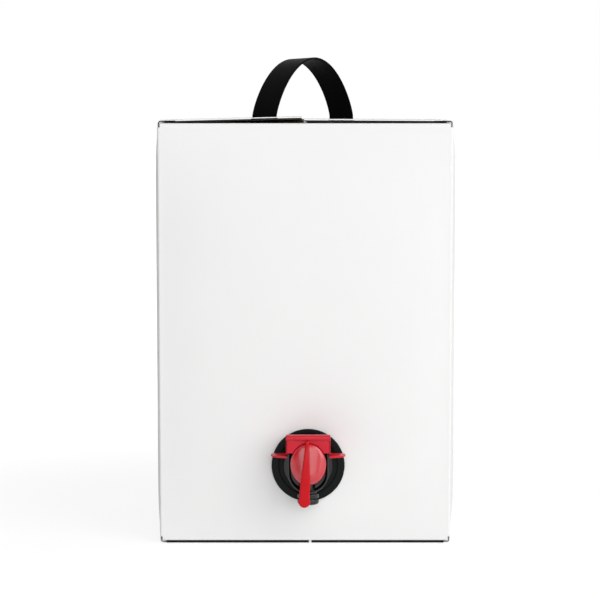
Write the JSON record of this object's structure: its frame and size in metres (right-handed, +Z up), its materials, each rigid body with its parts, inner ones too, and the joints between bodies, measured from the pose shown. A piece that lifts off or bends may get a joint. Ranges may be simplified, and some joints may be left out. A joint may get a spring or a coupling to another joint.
{
  "type": "bag in box carton",
  "caption": "White corrugated bag in box carton with a black carrying strap and a red and black press tap at the foot of its front panel.",
  "frame": {"origin": "middle of the carton's base, on the surface that it stands on", "axes": "+Z up, the front panel and the tap face -Y, +X to the right seen from the front"},
  "size_m": [0.1766, 0.1324, 0.2839],
  "materials": {
    "white_board": "white coated liner with raw fluted edges",
    "black_strap": "satin flat strap",
    "bag_film": "clear metallised film",
    "black_gland": "satin moulding",
    "black_tap": "gloss moulding",
    "red_button": "gloss flexible cap",
    "white_plastic": "natural moulding",
    "soft_seal": "soft ring",
    "red_grip": "gloss moulding",
    "red_strip": "gloss moulding"
  },
  "bodies": {
    "pack": {"carton": "white_board", "handle_strap": "black_strap", "inner_bag": "bag_film", "spout_gland": "black_gland", "tap_body": "black_tap", "grip_frame": "red_grip", "tamper_strip": "red_strip"},
    "button": {"push_button": "red_button", "valve_stem": "white_plastic", "valve_seal": "soft_seal"}
  },
  "joints": [
    {"name": "button_press", "type": "slide", "parent": "pack", "child": "button", "axis": [0, 1, 0], "range_m": [0, 0.004], "stiffness_N_per_m": 2500, "springref_m": -0.001}
  ]
}
